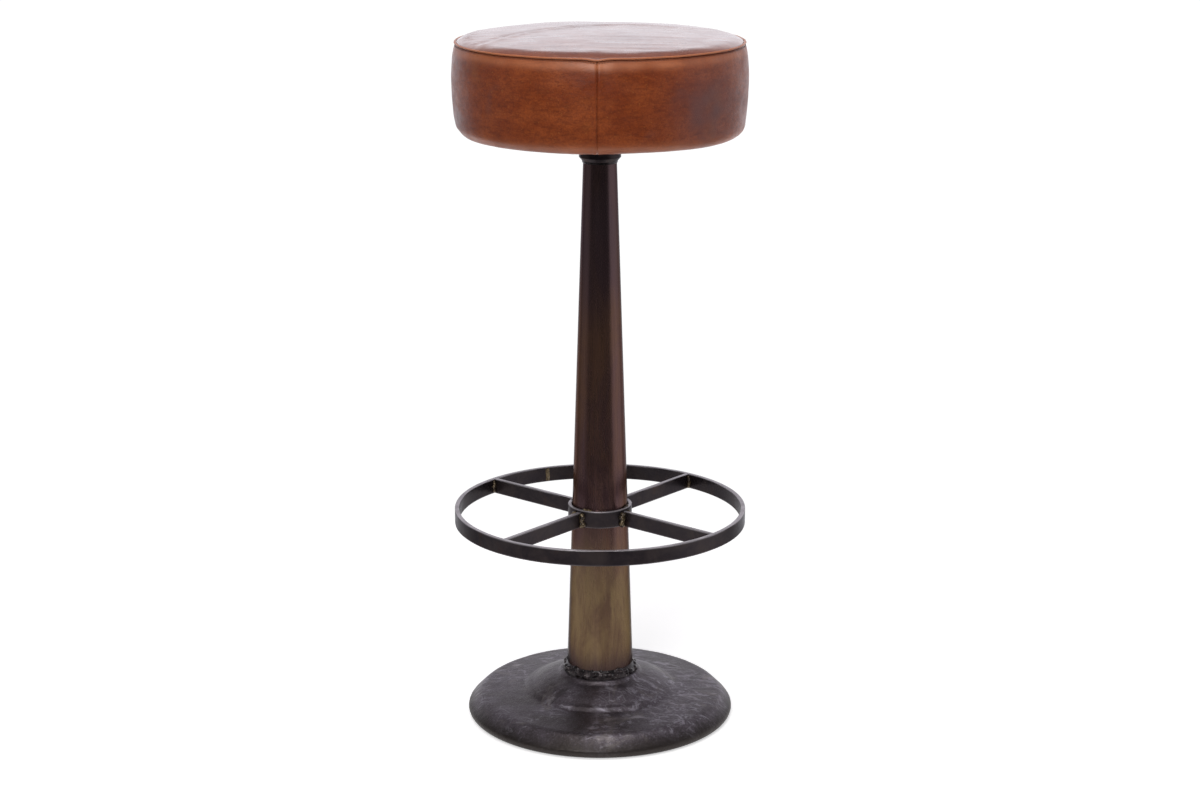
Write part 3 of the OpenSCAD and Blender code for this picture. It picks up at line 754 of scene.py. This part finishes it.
def seat_foam():
    """The foam block, cut to fill the leather, with a recess for the board."""
    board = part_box("seat_board")
    gap = LEATHER + 0.5 * MM
    outline = []
    for radius, z in side_section()[UNDER_STEPS:-2:3]:
        outline.append((radius - gap, max(z, board[0].z + 0.4 * MM)))
    crown_steps = 24
    for i in range(crown_steps + 1):
        radius = (SEAM_R - 5 * MM) * (1 - i / crown_steps)
        outline.append((radius, SEAM_Z + crown(radius) - gap - 1.5 * MM))
    recess = [(0.0, board[1].z), (board[1].x, board[1].z), (board[1].x, board[0].z + 0.4 * MM)]
    bm = spun(outline + recess, 180)
    for vert in bm.verts:
        radius = math.hypot(vert.co.x, vert.co.y)
        if radius > board[1].x + 1 * MM and vert.co.z < SEAM_Z:
            out, _ = side_sculpt(vert.co)
            vert.co += Vector((vert.co.x, vert.co.y, 0)) / radius * min(0.0, out)
        elif vert.co.z > SEAM_Z:
            vert.co.z += min(0.0, top_sculpt(vert.co.x, vert.co.y))
    piece = finish_piece("seat_foam", bm)
    wear(piece, foam())
    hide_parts("foam_pad")
    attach(piece, "seat")


def cloth_sag(x, y):
    """How far the dust cloth hangs below its stretched place."""
    radius, angle = math.hypot(x, y), math.atan2(y, x)
    free = max(0.0, min(1.0, (radius - PLATE_R - 4 * MM) / (14 * MM)))
    free *= max(0.0, min(1.0, (TURN_R - 2 * MM - radius) / (10 * MM)))
    sag = free * MM * (0.7 + 0.8 * bump_noise((x, y, 0), 0.03, 11.0))
    between = 0.5 - 0.5 * math.cos(angle * STAPLES)
    lap = max(0.0, min(1.0, (radius - TURN_R + 12 * MM) / (14 * MM)))
    return max(0.0, sag) + between * lap * MM * (0.35 + 0.3 * bump_noise((x, y, 1), 0.04, 12.0))


def dust_cover():
    """The cloth under the seat: flat above the plate, puckered between its staples."""
    flat_z, lap_z = COVER[1].z - 0.03 * MM, COVER[0].z + CLOTH
    upper = []
    for i in range(89):
        radius = COVER_R * i / 88
        over = max(0.0, min(1.0, (radius - TURN_R + 3 * MM) / (3 * MM)))
        upper.append((radius, flat_z + (lap_z - flat_z) * over))
    lower = [(radius, z - CLOTH) for radius, z in reversed(upper)]
    bm = spun(upper + lower, STAPLES * 8)
    for vert in bm.verts:
        vert.co.z -= cloth_sag(vert.co.x, vert.co.y)
    punch = bmesh.new()
    for i in range(BOLTS):
        turn = TURN * (i + 0.5) / BOLTS
        place = (BOLT_CIRCLE_R * math.cos(turn), BOLT_CIRCLE_R * math.sin(turn), flat_z)
        bmesh.ops.create_cone(punch, cap_ends=True, segments=32, radius1=BOLT_HOLE_R,
                              radius2=BOLT_HOLE_R, depth=6 * MM,
                              matrix=Matrix.Translation(place))
    piece = finish_piece("dust_cover", bm)
    cutter = finish_piece("bolt_punch", punch)
    cut = piece.modifiers.new("bolt_holes", "BOOLEAN")
    cut.operation = "DIFFERENCE"
    cut.solver = "EXACT"
    cut.object = cutter
    bpy.context.view_layer.update()
    graph = bpy.context.evaluated_depsgraph_get()
    punched = bpy.data.meshes.new_from_object(piece.evaluated_get(graph))
    piece.modifiers.clear()
    piece.data = punched
    bpy.data.objects.remove(cutter)
    wear(piece, dust_cloth())
    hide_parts("under_cover")
    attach(piece, "seat")


# ---------------------------------------------------------------- footrest

def bar_rub(piece, low, high):
    """Marks the parts of a bar that feet and hands rub bright: its upper and lower edges."""
    values = []
    for vert in piece.data.vertices:
        top = ridge(high - vert.co.z, 0.75 * MM)
        foot = 0.5 * ridge(vert.co.z - low, 0.6 * MM)
        patch = 0.5 + 0.8 * bump_noise(vert.co, 0.03, 6.0)
        value = max(top, foot) * patch
        if vert.co.z > high - 0.1 * MM:
            value = 0.8 + 0.3 * bump_noise(vert.co, 0.012, 2.0)
        values.append(max(0.0, min(1.0, value)))
    add_value(piece, "rub_and_highlight", values)
    ends = [Vector((r * math.cos(a), r * math.sin(a), 0)) for r in (COLLAR[1].x, RING_R - BAR_T)
            for a in (SPOKE_TURN + TURN * i / SPOKES for i in range(SPOKES))]
    heat = [max(ridge((Vector((v.co.x, v.co.y, 0)) - end).length, 11 * MM) for end in ends)
            for v in piece.data.vertices]
    add_value(piece, "heat", heat)


def footrest_ring():
    """The hoop that the feet rest on."""
    bm = rounded_ring(RING_R - BAR_T, RING_R, RING[0].z, RING[1].z, 0.6 * MM, steps=320)
    for vert in bm.verts:
        radius = math.hypot(vert.co.x, vert.co.y)
        around = Vector((vert.co.x, vert.co.y, 0)) / radius
        vert.co += around * 0.35 * MM * bump_noise(around, 0.45, 2.0)
    piece = finish_piece("footrest_hoop", bm)
    bar_rub(piece, RING[0].z, RING[1].z)
    wear(piece, BLACK_BAR)
    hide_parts("footrest_ring")
    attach(piece, "stand")


def footrest_collar():
    """The band round the column that carries the spokes."""
    bm = rounded_ring(COLLAR[1].x - COLLAR_WALL, COLLAR[1].x, COLLAR[0].z, COLLAR[1].z,
                      0.7 * MM, steps=128)
    piece = finish_piece("footrest_band", bm)
    bar_rub(piece, COLLAR[0].z, COLLAR[1].z)
    wear(piece, BLACK_BAR)
    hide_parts("footrest_collar")
    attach(piece, "stand")


def spoke(index):
    """One flat bar on edge, from the collar to the ring."""
    inner, outer = COLLAR[1].x - 0.15 * MM, RING_R - BAR_T + 0.1 * MM
    bm = bmesh.new()
    bmesh.ops.create_cube(bm, size=1, matrix=Matrix.Translation(
        ((inner + outer) / 2, 0, (RING[0].z + RING[1].z) / 2))
        @ Matrix.Diagonal((outer - inner, BAR_T, BAR_H, 1)))
    bmesh.ops.bevel(bm, geom=bm.edges[:], offset=0.5 * MM, segments=3, profile=0.5,
                    affect="EDGES", material=-1)
    cuts = [(x / 8 * inner + (1 - x / 8) * outer, 0, (1, 0, 0)) for x in range(1, 8)]
    cuts += [(0, z, (0, 0, 1)) for z in (RING[0].z + EDGE_LOOP, RING[1].z - EDGE_LOOP)]
    for x, z, across in cuts:
        bmesh.ops.bisect_plane(bm, geom=bm.verts[:] + bm.edges[:] + bm.faces[:],
                               plane_co=(x, 0, z), plane_no=across)
    bmesh.ops.rotate(bm, verts=bm.verts, cent=(0, 0, 0), matrix=Matrix.Rotation(
        SPOKE_TURN + TURN * (index - 1) / SPOKES, 3, "Z"))
    piece = finish_piece(f"footrest_spoke_{index}", bm)
    bar_rub(piece, RING[0].z, RING[1].z)
    wear(piece, BLACK_BAR)
    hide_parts(f"spoke_{index}")
    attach(piece, "stand")


def corner_beads(name, radius, reach, replaced, swell, spread):
    """Upright welds in both corners at one end of every spoke."""
    bm = bmesh.new()
    blobs = []
    for index in range(SPOKES):
        turn = SPOKE_TURN + TURN * index / SPOKES
        for side in (-1, 1):
            runs = 9
            for step in range(runs):
                z = RING[0].z + BAR_H * (0.13 + 0.70 * step / (runs - 1))
                size = swell * random.uniform(0.82, 1.18)
                local = Vector((radius + reach * random.uniform(0.7, 1.1),
                                side * (BAR_T / 2 + random.uniform(0.1, spread) * size), 0))
                place = Matrix.Rotation(turn, 3, "Z") @ local
                place.z = z
                blobs.append((place, (size, size, size * 0.95), turn))
    lumps(bm, blobs)
    piece = fused(finish_piece(name, bm), 0.55 * MM, 2)
    wear(piece, KHAKI_WELD)
    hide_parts(replaced)
    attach(piece, "stand")


def tube_radius(z):
    """Radius of the column at a height."""
    share = (z - TUBE[0].z) / (TUBE[1].z - TUBE[0].z)
    return FOOT_R + (TUBE_TOP_R - FOOT_R) * share


def foot_weld():
    """A heavy, uneven bead round the column's foot."""
    bm = spun([(FOOT_R - 1.5 * MM, TUBE[0].z - 0.8 * MM), (FOOT_R + 4.6 * MM, TUBE[0].z - 0.8 * MM),
               (FOOT_R + 3.6 * MM, TUBE[0].z + 4.5 * MM), (tube_radius(WELD_TOP_Z), WELD_TOP_Z),
               (tube_radius(WELD_TOP_Z) - 1.5 * MM, WELD_TOP_Z)], 96, closed=True)
    blobs = []
    count = 74
    for i in range(count):
        angle = TURN * i / count + random.uniform(-0.05, 0.05)
        size = random.uniform(1.9, 3.6) * MM
        place = Vector((math.cos(angle), math.sin(angle), 0)) * (
            FOOT_R + random.uniform(0.9, 3.0) * MM)
        place.z = TUBE[0].z + random.uniform(1.0, 6.2) * MM
        blobs.append((place, (size, size * random.uniform(1.0, 1.5), size), angle))
    for i in range(46):
        angle = random.uniform(0, TURN)
        size = random.uniform(1.2, 2.4) * MM
        z = TUBE[0].z + random.uniform(5.5, 10.0) * MM
        place = Vector((math.cos(angle), math.sin(angle), 0)) * (tube_radius(z) + 0.3 * MM)
        place.z = z
        blobs.append((place, (size, size * 1.2, size), angle))
    lumps(bm, blobs)
    piece = fused(finish_piece("foot_weld", bm), 0.7 * MM, 2)
    wear(piece, DARK_WELD)
    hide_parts("column_weld")
    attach(piece, "stand")


def collar_tacks():
    """Tack welds between the collar's top edge and the column."""
    bm = bmesh.new()
    blobs = []
    for index in range(SPOKES):
        turn = SPOKE_TURN + TURN * index / SPOKES + TACK_TURN
        for step in range(5):
            angle = turn + (step - 2) * 0.055 + random.uniform(-0.01, 0.01)
            size = random.uniform(1.3, 2.0) * MM
            place = Vector((math.cos(angle), math.sin(angle), 0)) * (COLLAR[1].x - 3.4 * MM)
            place.z = COLLAR[1].z + random.uniform(-0.3, 0.7) * MM
            blobs.append((place, (size * 1.1, size * 1.2, size * 0.8), angle))
    lumps(bm, blobs)
    piece = fused(finish_piece("band_tacks", bm), 0.4 * MM, 1)
    wear(piece, KHAKI_WELD)
    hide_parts("collar_tacks")
    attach(piece, "stand")


def hoop_joint():
    """The ground weld where the hoop's ends meet, inside and outside."""
    bm = bmesh.new()
    blobs = []
    for face in (RING_R - BAR_T, RING_R):
        for step in range(9):
            place = Vector((math.cos(HOOP_JOINT), math.sin(HOOP_JOINT), 0)) * face
            place.z = RING[0].z + BAR_H * (0.12 + 0.76 * step / 8)
            blobs.append((place, (0.45 * MM, random.uniform(2.6, 3.8) * MM, 1.8 * MM),
                          HOOP_JOINT))
    lumps(bm, blobs)
    piece = fused(finish_piece("hoop_joint", bm), 0.4 * MM, 1)
    wear(piece, KHAKI_WELD)
    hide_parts("ring_joint_weld")
    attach(piece, "stand")


# ---------------------------------------------------------------- base

def cast_base():
    """The casting, with the soft edges and uneven skin that a sand mould leaves."""
    bm = bmesh.new()
    bm.from_mesh(nodes["base_casting"].data)
    bmesh.ops.remove_doubles(bm, verts=bm.verts, dist=0.01 * MM)
    piece = fused(finish_piece("cast_foot", bm), 1.7 * MM, 3)
    soft = bmesh.new()
    soft.from_mesh(piece.data)
    shelf = [v for v in soft.verts if v.co.z > RIM_SOFT_Z and v.normal.z > 0.05
             and math.hypot(v.co.x, v.co.y) > RIM_SOFT_R]
    for _ in range(RIM_SOFTENING):
        bmesh.ops.smooth_vert(soft, verts=shelf, factor=0.5, use_axis_x=True, use_axis_y=True,
                              use_axis_z=True)
    soft.to_mesh(piece.data)
    soft.free()
    for vert in piece.data.vertices:
        rough = 0.55 * bump_noise(vert.co, 0.028, 1.0) + 0.25 * bump_noise(vert.co, 0.009, 2.0)
        if vert.co.z > 4 * MM:
            vert.co.z += rough * 0.45 * MM
    wear(piece, CAST_IRON)
    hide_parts("base_casting")
    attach(piece, "stand")


def repaint(material, *names):
    """Gives CAD nodes a finer material, in their one slot."""
    for name in names:
        nodes[name].material_slots[0].material = material


# ---------------------------------------------------------------- studio

def studio():
    """Pale floor, pale surroundings behind and beside, a dim room in front, two soft lights."""
    bm = bmesh.new()
    bmesh.ops.create_circle(bm, cap_ends=True, segments=96, radius=0.75)
    floor = finish_piece("floor", bm, smooth=False)
    f = Finish("pale_floor")
    f.set(Base_Color=(0.9, 0.89, 0.88, 1), Roughness=0.6, Specular_IOR_Level=0.25,
          Emission_Color=(1, 1, 1, 1), Emission_Strength=0.55)
    floor.data.materials.append(f.material)

    world = bpy.data.worlds.new("studio_world")
    bpy.context.scene.world = world
    world.use_nodes = True
    tree = world.node_tree
    new, link = tree.nodes.new, tree.links.new
    back = tree.nodes["Background"]
    direction = new("ShaderNodeTexCoord").outputs["Generated"]
    axis = new("ShaderNodeSeparateXYZ")
    link(direction, axis.inputs[0])

    def ramp(output, low, high, dim, bright):
        step = new("ShaderNodeMapRange")
        step.interpolation_type = "SMOOTHSTEP"
        for name, value in (("From Min", low), ("From Max", high), ("To Min", dim),
                            ("To Max", bright)):
            step.inputs[name].default_value = value
        link(output, step.inputs["Value"])
        return step.outputs[0]

    def joined(a, b, operation):
        made = new("ShaderNodeMath")
        made.operation = operation
        link(a, made.inputs[0])
        link(b, made.inputs[1])
        return made.outputs[0]

    backdrop = joined(ramp(axis.outputs[1], 0.42, 0.78, 0, 1.08),
                      ramp(axis.outputs[2], 0.42, 0.56, 1, 0.08), "MULTIPLY")
    side = joined(ramp(axis.outputs[0], 0.78, 0.9, 0, 0.8),
                  ramp(axis.outputs[0], -0.84, -0.95, 0, 0.28), "ADD")
    ceiling = ramp(axis.outputs[2], 0.3, 0.9, 0.1, 0.3)
    room = new("ShaderNodeVectorMath")
    room.operation = "SCALE"
    room.inputs[0].default_value = ROOM_TINT
    link(joined(joined(backdrop, side, "ADD"), ceiling, "ADD"), room.inputs["Scale"])
    rays = new("ShaderNodeLightPath")
    seen = new("ShaderNodeMix")
    seen.data_type = "RGBA"
    link(rays.outputs["Is Camera Ray"], seen.inputs[0])
    link(room.outputs[0], seen.inputs[6])
    seen.inputs[7].default_value = (1.05, 1.05, 1.05, 1)
    link(seen.outputs[2], back.inputs["Color"])
    back.inputs["Strength"].default_value = 1

    def softbox(name, place, aim, size, power):
        lamp = bpy.data.lights.new(name, "AREA")
        lamp.shape = "SQUARE"
        lamp.size = size
        lamp.energy = power
        holder = bpy.data.objects.new(name, lamp)
        holder.location = place
        holder.rotation_euler = (Vector(aim) - Vector(place)).to_track_quat("-Z", "Y").to_euler()
        bpy.context.scene.collection.objects.link(holder)

    softbox("overhead", (0, -0.6, 2.5), (0, 0, 0), 1.4, 18)
    softbox("key", (-0.5, -2.3, 2.0), (0, 0, 0.6), 0.9, 30)


def camera():
    """A long lens from the front, a little above the seat."""
    lens = bpy.data.cameras.new("camera")
    lens.lens = 72.6
    lens.sensor_width = 36
    holder = bpy.data.objects.new("camera", lens)
    holder.location = (0, -2.684, 1.1034)
    holder.rotation_euler = (math.radians(90 - 15.1), 0, 0)
    bpy.context.scene.collection.objects.link(holder)
    bpy.context.scene.camera = holder
    bpy.context.scene.view_settings.view_transform = "Standard"


# ---------------------------------------------------------------- assembly

camera()
studio()
side_band("seat_side_right", 0.0, "side_band_right")
side_band("seat_side_left", math.pi, "side_band_left")
top_leather()
seam_lip()
seam_stitches()
seat_foam()
dust_cover()
footrest_ring()
footrest_collar()
for number in range(1, SPOKES + 1):
    spoke(number)
corner_beads("band_welds", COLLAR[1].x, 1.0 * MM, "spoke_inner_welds", 3.1 * MM, 1.3)
corner_beads("hoop_welds", RING_R - BAR_T, -0.6 * MM, "spoke_outer_welds", 2.4 * MM, 0.7)
collar_tacks()
hoop_joint()
foot_weld()
cast_base()
repaint(PATINA, "column_tube")
repaint(BLACK_BAR, "swivel_housing", "seat_hub", "seat_plate")
repaint(DARK_WELD, "housing_weld", "hub_weld")
repaint(BRONZE, "upper_bush", "lower_bush", "thrust_washer")
repaint(BRIGHT, "spindle", "circlip", "retaining_washer")
repaint(ZINC, "plate_bolts", "bolt_washers", "tee_nuts", "cover_staples")
repaint(rubber(), "floor_ring")
repaint(plywood(), "seat_board")
